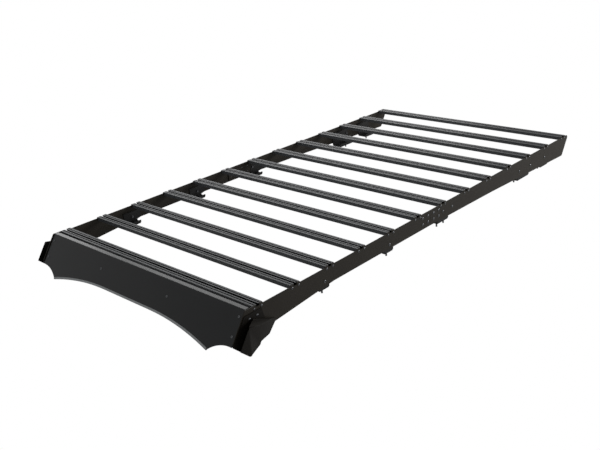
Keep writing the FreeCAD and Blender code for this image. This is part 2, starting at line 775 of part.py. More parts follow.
# ---------------------------------------------------------------- feet
def foot_y(station):
    return {
        1: "(first_slat_y + foot_1_back)",
        2: "(first_slat_y + foot_2_back)",
        3: f"({JOINT_Y} + splice_length / 2 + foot_3_gap - foot_leg_front_3)",
        4: f"({LAST_Y} - foot_4_ahead)",
        5: f"({LAST_Y} - foot_5_ahead)",
    }[station]


def is_double(station):
    """Whether a foot has two bolts through its leg and two mounting bolts."""
    return station in (3, 4)


def end_of(station):
    """The end of the rack that a foot belongs to; its reach, drop and bolt place go by it."""
    return "rear" if station > 3 else "front"


def foot_drop(station):
    return f"foot_drop_{end_of(station)}"


def foot_bolt_offsets(station):
    if is_double(station):
        return [f"foot_leg_front_{station} + foot_bolt_inset", f"foot_leg_rear_{station} - foot_bolt_inset"]
    return ["0"]


def foot_bolt_places(station):
    """Where a foot's bolts pass through the rail, in the rack's frame."""
    height = below(f"foot_bolt_drop_{station}")
    return [(f"{foot_y(station)} + {offset}", height) for offset in foot_bolt_offsets(station)]


def stud_offsets(station):
    return ["-stud_spacing / 2", "stud_spacing / 2"] if is_double(station) else ["0"]


def stud_holes(sketch, sign, station):
    for offset in stud_offsets(station):
        outline(sketch, ring_corners(
            f"{sign} * stud_inset_{end_of(station)}", offset, "stud_hole_radius", 8))


def foot(side, station):
    """A pressed foot: a leg bolted inside the rail, narrowing to a channel turned inboard."""
    sign = -SIDES[side]
    body = new_body(f"foot_{side}_{station}")
    base = below(foot_drop(station))
    front, rear = (f"foot_base_{end}_{station}" for end in ("front", "rear"))
    leg_front, leg_rear = (f"foot_leg_{end}_{station}" for end in ("front", "rear"))
    leg = sketch_in(body, "YZ", "leg_outline")
    waist, shoulder = (f"{base} + {height}" for height in ("foot_waist", "foot_shoulder"))
    top = below("foot_leg_drop")
    outline(leg, [
        (front, base), (rear, base), (rear, shoulder), (leg_rear, waist), (leg_rear, top),
        (leg_front, top), (leg_front, waist), (front, shoulder)])
    pad(body, leg, "leg", "foot_gauge", reverse=sign < 0)
    channel = sketch_in(body, "XZ", "channel_profile", offset=f"-({front} + {rear}) / 2")
    reach = f"foot_reach_{end_of(station)}"
    inner = f"{sign} * ({reach} - foot_gauge)"
    floor = f"{base} + foot_gauge"
    lip = f"{base} + foot_lip"
    outline(channel, [
        ("0", base), (f"{sign} * {reach}", base), (f"{sign} * {reach}", lip), (inner, lip),
        (inner, floor), ("0", floor)])
    pad(body, channel, "channel", f"{rear} - {front}", symmetric=True)
    studs = sketch_in(body, "XY", "stud_holes")
    stud_holes(studs, sign, station)
    cut_through(body, studs, "stud_cut")
    bolts = sketch_in(body, "YZ", "bolt_holes")
    for offset in foot_bolt_offsets(station):
        outline(bolts, square_corners(offset, below(f"foot_bolt_drop_{station}"), "bolt_square + bolt_ease"))
    cut_through(body, bolts, "bolt_cut")
    place(body, x=f"{-sign} * slat_length / 2", y=foot_y(station))


def foot_pad(side, station):
    """A rubber pad under a foot's base."""
    sign = -SIDES[side]
    body = new_body(f"foot_pad_{side}_{station}")
    sheet_outline = sketch_in(body, "XY", "pad_outline")
    outline(sheet_outline, box_corners(
        f"{sign} * pad_margin", f"{sign} * (foot_reach_{end_of(station)} - pad_margin)",
        f"foot_base_front_{station} + pad_margin", f"foot_base_rear_{station} - pad_margin"))
    stud_holes(sheet_outline, sign, station)
    pad(body, sheet_outline, "rubber", "pad_thickness", reverse=True)
    place(body, x=f"{-sign} * slat_length / 2", y=foot_y(station), z=below(foot_drop(station)))


# ---------------------------------------------------------------- fasteners
def fastener(name, head, shank=None):
    """A master fastener: the head stands up from z = 0 and the shank hangs below it.

    Each is (sides, radius, length); sides of 0 make a cylinder.
    """
    parts = []
    for label, spec in (("head", head), ("shank", shank)):
        if spec is None:
            continue
        sides, radius, length = spec
        kind = "Part::Prism" if sides else "Part::Cylinder"
        solid = doc.addObject(kind, f"{name}_{label}")
        if sides:
            solid.Polygon = sides
            solid.Placement.Rotation = FreeCAD.Rotation(FreeCAD.Vector(0, 0, 1), 180 / sides)
            bind(solid, Circumradius=radius, Height=length)
        else:
            bind(solid, Radius=radius, Height=length)
        if label == "shank":
            place(solid, z=f"-({length})")
        parts.append(solid)
    if len(parts) == 1:
        return parts[0]
    joined = doc.addObject("Part::Fuse", name)
    joined.Base, joined.Tool = parts
    return joined


def fastener_set(name, places):
    """Copies of master fasteners as one node; each place is (master, position, direction of the head)."""
    doc.recompute()
    solids = []
    for master, position, direction in places:
        point = FreeCAD.Vector(*[value(text) for text in position])
        turn = FreeCAD.Rotation(FreeCAD.Vector(0, 0, 1), direction)
        shape = master.Shape.copy()
        shape.Placement = FreeCAD.Placement(point, turn)
        solids.append(shape)
    group = doc.addObject("Part::Feature", f"{name}_set")
    group.Shape = Part.makeCompound(solids)
    return node(group, name)


def outward(side):
    return FreeCAD.Vector(SIDES[side], 0, 0)


def nose_point(x, y, z):
    """Position in the rack's frame of a point of the leaning frame at the deflector's top front edge."""
    back = f"({y}) * cos(deflector_lean) + ({z}) * sin(deflector_lean)"
    up = f"-({y}) * sin(deflector_lean) + ({z}) * cos(deflector_lean)"
    return x, f"{NOSE_Y} + {back}", f"deck_height + {up}"


def fasteners():
    rail_face = "(slat_length / 2 + rail_thickness)"
    slat_screw = fastener("slat_screw", (6, "button_radius", "button_height"),
                          (4, "port_half", "slat_screw_length"))
    for side, sign in SIDES.items():
        fastener_set(f"slat_screws_{side}", [
            (slat_screw, (f"{sign} * {rail_face}",
                          f"first_slat_y + {number} * slat_pitch + {end} * screw_spread / 2",
                          "deck_height - screw_drop"), outward(side))
            for number in range(int(value("slat_count"))) for end in (-1, 1)])
    flank = "bolt_square / sqrt(2)"
    splice_bolt = fastener("splice_bolt", (6, "bolt_head_radius", "bolt_head_height"),
                           (4, flank, "rail_thickness + splice_thickness"))
    fastener_set("splice_bolts", [
        (splice_bolt, (f"{sign} * {rail_face}", y, z), outward(side))
        for side, sign in SIDES.items() for y, z in splice_bolt_places()])
    foot_bolt = fastener("foot_bolt", (6, "bolt_head_radius", "bolt_head_height"),
                         (4, flank, "rail_thickness + foot_gauge"))
    through_feet = [
        (side, sign, y, z) for side, sign in SIDES.items() for station in range(1, 6)
        for y, z in foot_bolt_places(station)]
    fastener_set("foot_bolts", [
        (foot_bolt, (f"{sign} * {rail_face}", y, z), outward(side)) for side, sign, y, z in through_feet])
    nut = fastener("nut", (6, "nut_radius", "nut_height"))
    fastener_set("foot_nuts", [
        (nut, (f"{sign} * (slat_length / 2 - foot_gauge - nut_height)", y, z), outward(side))
        for side, sign, y, z in through_feet])
    mounting_bolts()
    front_fasteners(nut)


def mounting_bolts():
    """Bolts through the feet's bases, their heads inside and their tips below."""
    bolt = fastener("mounting_bolt", (6, "stud_head_radius", "stud_head_height"),
                    (0, "stud_radius", "stud_length"))
    fastener_set("mounting_bolts", [
        (bolt, (f"{sign} * (slat_length / 2 - stud_inset_{end_of(station)})", f"{foot_y(station)} + {offset}",
                below(f"{foot_drop(station)} - foot_gauge")), FreeCAD.Vector(0, 0, 1))
        for sign in SIDES.values() for station in range(1, 6) for offset in stud_offsets(station)])


def front_fasteners(nut):
    """Screws and nuts of the deflector, its stays and the scoops."""
    lean = math.radians(value("deflector_lean"))
    ahead = FreeCAD.Vector(0, -math.cos(lean), math.sin(lean))
    head = (6, "button_radius", "button_height")
    plate_screw = fastener("plate_screw", head, (4, "screw_radius", "deflector_gauge + bracket_gauge"))
    plates = deflector_screw_places()
    stays = stay_screw_places()
    fastener_set("deflector_screws", [
        (plate_screw, nose_point(x, "0", z), ahead) for x, z in plates + stays])
    scoop_screw = fastener("scoop_screw", head,
                           (4, "screw_radius", "scoop_wall + rail_thickness + bracket_gauge"))
    scoops = [
        (side, sign, f"first_slat_y - {forward}") for side, sign in SIDES.items()
        for forward in ("bracket_screw_front", "bracket_screw_rear")]
    fastener_set("scoop_screws", [
        (scoop_screw, (f"{sign} * (slat_length / 2 + rail_thickness + scoop_wall)", y,
                       "deck_height - bracket_screw_drop"), outward(side)) for side, sign, y in scoops])
    behind = "deflector_gauge + bracket_gauge + nut_height"
    nut_places = [(nut, nose_point(x, behind, z), ahead) for x, z in plates]
    nut_places += [(nut, nose_point(x, "deflector_gauge + stay_gauge + nut_height", z), ahead) for x, z in stays]
    nut_places += [
        (nut, (f"{sign} * (slat_length / 2 - bracket_gauge - nut_height)", y,
               "deck_height - bracket_screw_drop"), outward(side)) for side, sign, y in scoops]
    fastener_set("front_nuts", nut_places)
    stay_screw = fastener("stay_screw", head, (4, "screw_radius", "stay_gauge + slat_wall + 3"))
    fastener_set("stay_screws", [
        (stay_screw, (f"{sign} * stay_x", "first_slat_y", "deck_height - slat_depth - stay_gauge"),
         FreeCAD.Vector(0, 0, -1)) for sign in SIDES.values()])


# ---------------------------------------------------------------- the rack
def build():
    cross_slats()
    for side in SIDES:
        for part in ("front", "rear"):
            side_rail(side, part)
        splice_plate(side)
        deflector_bracket(side)
        deflector_stay(side)
        for station in range(1, 6):
            foot(side, station)
            foot_pad(side, station)
    side_scoops()
    wind_deflector()
    deflector_edge_trim()
    fasteners()
    doc.recompute()


def check():
    """Stop before any file is written if an object failed or a sub-part's shape is not sound."""
    failed = [item.Name for item in doc.Objects if {"Invalid", "Error"} & set(item.State)]
    broken = [item.Label for item in nodes if item.Shape.isNull() or not item.Shape.isValid()]
    if failed or broken:
        raise RuntimeError(f"failed objects {failed}, unsound sub-parts {broken}")


build()
check()
os.makedirs("parts", exist_ok=True)
for item in nodes:
    item.Shape.exportStep(f"parts/{item.Label}.step")
print(len(nodes), "sub-parts")
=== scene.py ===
import json
import math

import bmesh
import bpy
import numpy
from mathutils import Matrix, Vector


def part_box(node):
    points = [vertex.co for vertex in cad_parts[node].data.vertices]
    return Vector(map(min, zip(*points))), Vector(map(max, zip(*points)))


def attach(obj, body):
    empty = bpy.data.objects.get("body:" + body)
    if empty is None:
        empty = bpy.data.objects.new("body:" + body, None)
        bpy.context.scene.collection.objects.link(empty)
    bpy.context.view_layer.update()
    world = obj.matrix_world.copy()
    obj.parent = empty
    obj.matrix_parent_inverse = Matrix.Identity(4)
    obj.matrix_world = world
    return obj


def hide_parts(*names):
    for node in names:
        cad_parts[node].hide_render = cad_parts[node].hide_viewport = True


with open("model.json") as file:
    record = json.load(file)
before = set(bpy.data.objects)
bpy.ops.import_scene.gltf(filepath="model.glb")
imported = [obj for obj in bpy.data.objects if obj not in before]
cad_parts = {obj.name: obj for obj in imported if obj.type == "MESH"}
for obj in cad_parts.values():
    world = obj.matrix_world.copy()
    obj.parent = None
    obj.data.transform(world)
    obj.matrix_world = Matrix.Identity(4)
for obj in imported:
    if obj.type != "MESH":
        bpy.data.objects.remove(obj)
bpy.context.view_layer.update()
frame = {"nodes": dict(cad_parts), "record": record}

MM = 0.001
NODES = frame["nodes"]
SIDES = {"left": -1, "right": 1}
LEAN = math.radians(35)          # the wind deflector leans back by this
# The next two sizes place the painted shade in the slats' grooves.
GROOVE_EDGE = 0.3 * MM           # how far below a slat's top its grooves start to darken
# Painted shade: a 3.5 mm groove is under a pixel wide in the render, so its painted shade is drawn this much
# wider on each side, onto the rib tops.
SHADE_RIM = 0.8 * MM
FLOOR = 30                       # half the width of the floor


# ---------------------------------------------------------------- materials
def linear(code):
    """An sRGB hex colour as linear RGBA."""
    channels = [int(code[i:i + 2], 16) / 255 for i in (1, 3, 5)]
    return [c / 12.92 if c <= 0.04045 else ((c + 0.055) / 1.055) ** 2.4 for c in channels] + [1]


def add(tree, kind, inputs=None, **settings):
    """Add a node with its settings; an input is a value, or the node or socket that feeds it."""
    made = tree.nodes.new(kind)
    for name, setting in settings.items():
        setattr(made, name, setting)
    for name, source in (inputs or {}).items():
        socket = made.inputs[name]
        if isinstance(source, bpy.types.Node):
            source = source.outputs[0]
        if isinstance(source, bpy.types.NodeSocket):
            tree.links.new(source, socket)
        else:
            socket.default_value = source
    return made


def finish(name, low, high, patch, roughness, grain, depth, metallic=0.0, specular=0.5, stretch=(1, 1, 1)):
    """A finish whose colour drifts from low to high in patches, with a grain that lifts the surface.

    patch and grain are sizes in millimetres, depth is the grain's height in millimetres, roughness is
    (least, most), and stretch draws the grain out along an axis.
    """
    material = bpy.data.materials.new(name)
    material.use_nodes = True
    tree = material.node_tree
    shader = tree.nodes["Principled BSDF"]
    place = add(tree, "ShaderNodeTexCoord").outputs["Object"]
    drift = add(tree, "ShaderNodeTexNoise", {"Vector": place, "Scale": 1 / (patch * MM), "Detail": 3.0})
    blend = add(tree, "ShaderNodeMix", {"Factor": drift.outputs["Fac"]}, data_type="RGBA")
    blend.inputs["A"].default_value = linear(low)
    blend.inputs["B"].default_value = linear(high)
    tree.links.new(blend.outputs["Result"], shader.inputs["Base Color"])
    drawn = add(tree, "ShaderNodeMapping", {"Vector": place, "Scale": stretch})
    speck = add(tree, "ShaderNodeTexNoise", {
        "Vector": drawn.outputs["Vector"], "Scale": 1 / (grain * MM), "Detail": 4.0, "Roughness": 0.6})
    dull = add(tree, "ShaderNodeMapRange", {
        "Value": speck.outputs["Fac"], "From Min": 0.3, "From Max": 0.7,
        "To Min": roughness[0], "To Max": roughness[1]})
    tree.links.new(dull.outputs["Result"], shader.inputs["Roughness"])
    bump = add(tree, "ShaderNodeBump", {
        "Height": speck.outputs["Fac"], "Distance": depth * MM, "Strength": 1.0})
    tree.links.new(bump.outputs["Normal"], shader.inputs["Normal"])
    shader.inputs["Metallic"].default_value = metallic
    shader.inputs["Specular IOR Level"].default_value = specular
    return material


# Satin black powder coat on an aluminium extrusion. Its grey base colour is painted sheen: it stands in for
# the satin reflection on every rib, and the specular is kept low.
SLAT_COAT = finish("extrusion_coat_with_painted_light", "#37393a", "#3e3f41", 60, (0.34, 0.42), 2.0, 0.006,
                   specular=0.055)
# Matt black powder coat on cut aluminium plate: a warm black with a fine orange peel.
RAIL_COAT = finish("powder_coated_plate", "#15120e", "#1b1813", 90, (0.45, 0.58), 2.2, 0.02, specular=0.085)
# Satin black powder coat on bent aluminium sheet: neutral, with a clear sheen where light grazes it.
DEFLECTOR_COAT = finish("powder_coated_sheet", "#0d0e0f", "#131415", 120, (0.28, 0.36), 2.2, 0.012,
                        specular=0.14)
# Black e-coat on pressed steel: thin and dull.
STEEL_COAT = finish("e_coated_steel", "#0b0b0b", "#121212", 30, (0.5, 0.65), 1.2, 0.03, specular=0.12)
# Black moulded ABS with a spark-eroded grain: soft dull highlights.
ABS = finish("grained_abs", "#0c0a08", "#100e0b", 50, (0.5, 0.62), 0.9, 0.05, specular=0.05)
# Extruded EPDM rubber, dark grey with a chalky bloom.
EPDM = finish("extruded_epdm", "#747677", "#868889", 25, (0.6, 0.8), 1.2, 0.04, specular=0.2)
# Black moulded rubber: matt, slightly mottled.
PAD_RUBBER = finish("moulded_rubber", "#0b0b0b", "#121212", 20, (0.7, 0.85), 1.0, 0.05, specular=0.1)
# Black-oxide steel: dark metal with a clear glint.
BLACK_OXIDE = finish("black_oxide_steel", "#3c3d3f", "#505153", 8, (0.25, 0.38), 0.8, 0.02, metallic=1.0)
# Zinc-nickel plated steel: dull grey metal.
ZINC = finish("zinc_nickel_steel", "#3a3b3d", "#4c4d4f", 8, (0.35, 0.5), 0.8, 0.02, metallic=1.0)


def paint_groove_shade(material):
    """Paint shade on the slats: a near-black base colour and less specular in the slot and side grooves, on
    their rims, and on the slat below its top between its outer grooves.
    """
    (_, start, _), (_, end, top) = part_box("slat_01")
    middle = (start + end) / 2
    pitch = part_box("slat_02")[0][1] - start
    slot, groove_start, groove_end, _ = sorted({
        round(abs(vert.co.y - middle), 5) for vert in NODES["slat_01"].data.vertices
        if abs(vert.co.z - top) < 0.01 * MM})
    tree = material.node_tree
    shader = tree.nodes["Principled BSDF"]
    place = add(tree, "ShaderNodeTexCoord").outputs["Object"]
    parts = add(tree, "ShaderNodeSeparateXYZ", {"Vector": place}).outputs
    shift = add(tree, "ShaderNodeMath", {0: parts["Y"], 1: middle}, operation="SUBTRACT")
    nearest = add(tree, "ShaderNodeMath", {0: shift, 1: pitch / 2, 2: -pitch / 2}, operation="WRAP")
    across = add(tree, "ShaderNodeMath", {0: nearest}, operation="ABSOLUTE")
    below = add(tree, "ShaderNodeMath", {0: parts["Z"], 1: top - GROOVE_EDGE}, operation="LESS_THAN")
    inside = add(tree, "ShaderNodeMath", {0: across, 1: groove_end + SHADE_RIM}, operation="LESS_THAN")
    sunk = add(tree, "ShaderNodeMath", {0: below, 1: inside}, operation="MULTIPLY")
    at_slot = add(tree, "ShaderNodeMath", {0: across, 1: slot + SHADE_RIM}, operation="LESS_THAN")
    at_groove = add(tree, "ShaderNodeMath", {
        0: across, 1: (groove_start + groove_end) / 2, 2: (groove_end - groove_start) / 2 + SHADE_RIM},
        operation="COMPARE")
    rims = add(tree, "ShaderNodeMath", {0: at_slot, 1: at_groove}, operation="MAXIMUM")
    groove_shade_mask = add(tree, "ShaderNodeMath", {0: sunk, 1: rims}, operation="MAXIMUM").outputs[0]
    # Painted shade: near-black colour wherever the groove shade mask is set.
    blend = add(tree, "ShaderNodeMix", {"Factor": groove_shade_mask}, data_type="RGBA")
    tree.links.new(shader.inputs["Base Color"].links[0].from_socket, blend.inputs["A"])
    blend.inputs["B"].default_value = linear("#050505")
    tree.links.new(blend.outputs["Result"], shader.inputs["Base Color"])
    # Painted shade in the sheen as well: the specular drops by 85 percent where the mask is set.
    gloss = shader.inputs["Specular IOR Level"].default_value
    shaded_specular = add(tree, "ShaderNodeMath", {0: groove_shade_mask, 1: -0.85 * gloss, 2: gloss}, operation="MULTIPLY_ADD")
    tree.links.new(shaded_specular.outputs[0], shader.inputs["Specular IOR Level"])


paint_groove_shade(SLAT_COAT)

FINISHES = {
    "slat_black": SLAT_COAT, "rail_black": RAIL_COAT, "deflector_black": DEFLECTOR_COAT,
    "trim_rubber": EPDM, "bracket_black": STEEL_COAT, "scoop_plastic": ABS, "pad_rubber": PAD_RUBBER,
    "screw_black": BLACK_OXIDE, "zinc_steel": ZINC,
}
for entry in frame["record"]["subparts"]:
    slots = NODES[entry["node"]].data.materials
    slots.clear()
    slots.append(FINISHES[entry["material_slot"]])


# ---------------------------------------------------------------- places read from the frame
def solids(node):
    """The separate solids of a node, each as a list of its corners."""
    mesh = bmesh.new()
    mesh.from_mesh(NODES[node].data)
    bmesh.ops.remove_doubles(mesh, verts=mesh.verts, dist=0.01 * MM)
    found, seen = [], set()
    for start in mesh.verts:
        if start in seen:
            continue
        group, queue = [], [start]
        seen.add(start)
        while queue:
            vert = queue.pop()
            group.append(vert.co.copy())
            for edge in vert.link_edges:
                other = edge.other_vert(vert)
                if other not in seen:
                    seen.add(other)
                    queue.append(other)
        found.append(group)
    mesh.free()
    return found


def far_end(corners, axis):
    """Centre of the face at the far end of a solid along an axis."""
    reach = max(corner.dot(axis) for corner in corners)
    face = [corner for corner in corners if reach - corner.dot(axis) < 0.05 * MM]
    return sum(face, Vector()) / len(face), reach - min(corner.dot(axis) for corner in corners)


# ---------------------------------------------------------------- fasteners by Geometry Nodes
def new_tree(name, sizes):
    """A Geometry Nodes tree with an input for each size; returns it with its input and output nodes."""
    tree = bpy.data.node_groups.new(name, "GeometryNodeTree")
    tree.interface.new_socket("Geometry", in_out="INPUT", socket_type="NodeSocketGeometry")
    for size in sizes:
        tree.interface.new_socket(size, in_out="INPUT", socket_type="NodeSocketFloat")
    tree.interface.new_socket("Finish", in_out="INPUT", socket_type="NodeSocketMaterial")
    tree.interface.new_socket("Geometry", in_out="OUTPUT", socket_type="NodeSocketGeometry")
    return tree, add(tree, "NodeGroupInput"), add(tree, "NodeGroupOutput")


def shifted(tree, geometry, up):
    """The geometry moved along its own axis."""
    offset = add(tree, "ShaderNodeCombineXYZ", {"Z": up}).outputs[0]
    return add(tree, "GeometryNodeTransform", {"Geometry": geometry, "Translation": offset}).outputs[0]


def instances(tree, given, shapes, out):
    """Put the shapes on every point, turned by the point's own direction, and make them real."""
    joined = add(tree, "GeometryNodeJoinGeometry")
    for shape in shapes:
        tree.links.new(shape, joined.inputs[0])
    direction = add(tree, "GeometryNodeInputNamedAttribute", {"Name": "direction"}, data_type="FLOAT_VECTOR")
    turned = add(tree, "FunctionNodeAlignRotationToVector", {"Vector": direction.outputs[0]}, axis="Z")
    placed = add(tree, "GeometryNodeInstanceOnPoints", {
        "Points": given.outputs["Geometry"], "Instance": joined.outputs[0], "Rotation": turned.outputs[0]})
    real = add(tree, "GeometryNodeRealizeInstances", {"Geometry": placed.outputs[0]})
    painted = add(tree, "GeometryNodeSetMaterial", {
        "Geometry": real.outputs[0], "Material": given.outputs["Finish"]})
    tree.links.new(painted.outputs[0], out.inputs[0])


def button_screw_tree():
    """Domed head with a hexagon socket, and a plain shank below the head."""
    sizes = ["Head Radius", "Head Height", "Socket Radius", "Shank Radius", "Shank Length"]
    tree, given, out = new_tree("button_head_screws", sizes)
    radius, height, socket, shank, length = (given.outputs[size] for size in sizes)
    ball = add(tree, "GeometryNodeMeshUVSphere", {"Segments": 24, "Rings": 12, "Radius": 1.0}).outputs[0]
    scale = add(tree, "ShaderNodeCombineXYZ", {"X": radius, "Y": radius, "Z": height}).outputs[0]
    dome = add(tree, "GeometryNodeTransform", {"Geometry": ball, "Scale": scale}).outputs[0]
    depth = add(tree, "ShaderNodeMath", {0: height, 1: 1.2}, operation="MULTIPLY")
    key = add(tree, "GeometryNodeMeshCylinder", {"Vertices": 6, "Radius": socket, "Depth": depth}).outputs[0]
    key = shifted(tree, key, height)
    width = add(tree, "ShaderNodeMath", {0: radius, 1: 2.2}, operation="MULTIPLY")
    block = add(tree, "ShaderNodeCombineXYZ", {"X": width, "Y": width, "Z": depth}).outputs[0]
    below = add(tree, "GeometryNodeMeshCube", {"Size": block}).outputs[0]
    below = shifted(tree, below, add(tree, "ShaderNodeMath", {0: depth, 1: -0.5}, operation="MULTIPLY"))
    head = add(tree, "GeometryNodeMeshBoolean", {"Mesh 1": dome}, operation="DIFFERENCE")
    for cutter in (key, below):
        tree.links.new(cutter, head.inputs["Mesh 2"])
    stem = add(tree, "GeometryNodeMeshCylinder", {
        "Vertices": 12, "Radius": shank, "Depth": length}).outputs[0]
    stem = shifted(tree, stem, add(tree, "ShaderNodeMath", {0: length, 1: -0.5}, operation="MULTIPLY"))
    instances(tree, given, [head.outputs[0], stem], out)
    return tree


def hexagon_tree():
    """Hexagon with a washer below it and a shank through both, for bolts and nuts."""
    sizes = ["Hexagon Radius", "Hexagon Height", "Washer Radius", "Washer Height",
             "Shank Radius", "Shank Length", "Shank Rise"]
    tree, given, out = new_tree("hexagon_fasteners", sizes)
    hexagon, height, washer, thin, shank, length, rise = (given.outputs[size] for size in sizes)
    flats = add(tree, "GeometryNodeMeshCylinder", {
        "Vertices": 6, "Radius": hexagon, "Depth": height}).outputs[0]
    half = add(tree, "ShaderNodeMath", {0: height, 1: 0.5}, operation="MULTIPLY")
    # A 30 degree chamfer: the cone meets the top at 0.92 of the corner radius and passes both end faces.
    rim = add(tree, "ShaderNodeMath", {0: hexagon, 1: 0.92}, operation="MULTIPLY")
    narrow = add(tree, "ShaderNodeMath", {0: height, 1: -0.346, 2: rim}, operation="MULTIPLY_ADD")
    wide = add(tree, "ShaderNodeMath", {0: height, 1: 2.078, 2: rim}, operation="MULTIPLY_ADD")
    cone = add(tree, "GeometryNodeMeshCone", {
        "Vertices": 32, "Radius Top": narrow, "Radius Bottom": wide,
        "Depth": add(tree, "ShaderNodeMath", {0: height, 1: 1.4}, operation="MULTIPLY")}).outputs[0]
    cone = shifted(tree, cone, add(tree, "ShaderNodeMath", {0: height, 1: -0.7}, operation="MULTIPLY"))
    body = add(tree, "GeometryNodeMeshBoolean", operation="INTERSECT")
    for part in (flats, cone):
        tree.links.new(part, body.inputs["Mesh 2"])
    nut = shifted(
        tree, body.outputs[0], add(tree, "ShaderNodeMath", {0: half, 1: thin}, operation="ADD"))
    disc = add(tree, "GeometryNodeMeshCylinder", {"Vertices": 32, "Radius": washer, "Depth": thin}).outputs[0]
    disc = shifted(tree, disc, add(tree, "ShaderNodeMath", {0: thin, 1: 0.5}, operation="MULTIPLY"))
    stem = add(tree, "GeometryNodeMeshCylinder", {
        "Vertices": 16, "Radius": shank, "Depth": length}).outputs[0]
    lowered = add(tree, "ShaderNodeMath", {0: length, 1: -0.5}, operation="MULTIPLY")
    stem = shifted(tree, stem, add(tree, "ShaderNodeMath", {0: lowered, 1: rise}, operation="ADD"))
    instances(tree, given, [nut, disc, stem], out)
    return tree


BUTTON_SCREWS = button_screw_tree()


def fasteners(name, tree, points, sizes, material, nodes):
    """Run the tree on points of (place, direction), keep the plain mesh and let it stand for the nodes."""
    base = bpy.data.meshes.new(name)
    base.from_pydata([place for place, _ in points], [], [])
    direction = base.attributes.new("direction", "FLOAT_VECTOR", "POINT")
    for item, (_, along) in zip(direction.data, points):
        item.vector = along
    carrier = bpy.data.objects.new(name + "_points", base)
    bpy.context.scene.collection.objects.link(carrier)
    modifier = carrier.modifiers.new("fasteners", "NODES")
    modifier.node_group = tree
    values = {**sizes, "Finish": material}
    for item in tree.interface.items_tree:
        if item.in_out == "INPUT" and item.name in values:
            modifier[item.identifier] = values[item.name]
    seen = carrier.evaluated_get(bpy.context.evaluated_depsgraph_get())
    mesh = bpy.data.meshes.new_from_object(seen)
    carrier.modifiers.clear()
    bpy.data.objects.remove(carrier)
    mesh.name = name
    piece = bpy.data.objects.new(name, mesh)
    bpy.context.scene.collection.objects.link(piece)
    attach(piece, "root")
    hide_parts(*nodes)
    return piece


# The way each node's heads face; None is outward from the rack's middle.
HEADS = {
    "slat_screws_left": (-1, 0, 0), "slat_screws_right": (1, 0, 0),
    "splice_bolts": None, "foot_bolts": None, "scoop_screws": None,
    "deflector_screws": (0, -math.cos(LEAN), math.sin(LEAN)), "stay_screws": (0, 0, -1),
}
SMALL = {"Head Radius": 5.25 * MM, "Head Height": 3.3 * MM,
         "Socket Radius": 2.0 * MM, "Shank Radius": 2.2 * MM}
LARGE = {"Head Radius": 6.5 * MM, "Head Height": 3.5 * MM,
         "Socket Radius": 2.9 * MM, "Shank Radius": 2.9 * MM}
for node, way in HEADS.items():
    sizes = LARGE if node in ("splice_bolts", "foot_bolts") else SMALL
    height = sizes["Head Height"]
    points, lengths = [], []
    for corners in solids(node):
        axis = Vector(way) if way else Vector((math.copysign(1, corners[0].x), 0, 0))
        top, long = far_end(corners, axis)
        points.append((top - axis * height, axis))
        lengths.append(long)
    piece = fasteners(node + "_detail", BUTTON_SCREWS, points, {
        **sizes, "Shank Length": lengths[0] - height}, BLACK_OXIDE, [node])


HEXAGONS = hexagon_tree()


def axis_of(corners):
    """The short axis of a squat solid, and its middle."""
    cloud = numpy.array([tuple(corner) for corner in corners])
    middle = cloud.mean(axis=0)
    _, ways = numpy.linalg.eigh(numpy.cov((cloud - middle).T))
    return Vector(middle), Vector(ways[:, 0])


def hexagon_piece(node, sizes, direction):
    """Bevelled nuts or bolts in place of a node's plain prisms."""
    points = []
    for corners in solids(node):
        middle, axis = axis_of(corners)
        way = direction(middle, axis)
        base = middle - way * (sizes["Hexagon Height"] / 2)
        points.append((base, way))
    piece = fasteners(node + "_detail", HEXAGONS, points, sizes, ZINC, [node])


def inboard_or_back(middle, axis):
    """A nut's outward way: back from the deflector, or inboard from a rail."""
    if abs(axis.y) > 0.3:
        return axis * math.copysign(1, axis.y)
    return Vector((-math.copysign(1, middle.x), 0, 0))


NUT = {"Hexagon Radius": 5.77 * MM, "Hexagon Height": 5 * MM, "Washer Radius": 6 * MM,
       "Washer Height": 0.8 * MM, "Shank Radius": 2.7 * MM, "Shank Length": 8 * MM, "Shank Rise": 6.6 * MM}
for node in ("foot_nuts", "front_nuts"):
    hexagon_piece(node, NUT, inboard_or_back)

BOLT = {"Hexagon Radius": 7.5 * MM, "Hexagon Height": 5.3 * MM, "Washer Radius": 7.2 * MM,
        "Washer Height": 0.5 * MM, "Shank Radius": 4 * MM, "Shank Length": 28.5 * MM, "Shank Rise": 0.0}
bolt_points = []
for corners in solids("mounting_bolts"):
    top = max(corner.z for corner in corners)
    head = [corner for corner in corners if corner.z > top - BOLT["Hexagon Height"] / 2]
    middle = sum(head, Vector()) / len(head)
    seat = top - BOLT["Hexagon Height"] - BOLT["Washer Height"]
    bolt_points.append((Vector((middle.x, middle.y, seat)), Vector((0, 0, 1))))
bolts = fasteners("mounting_bolts_detail", HEXAGONS, bolt_points, BOLT, ZINC, ["mounting_bolts"])


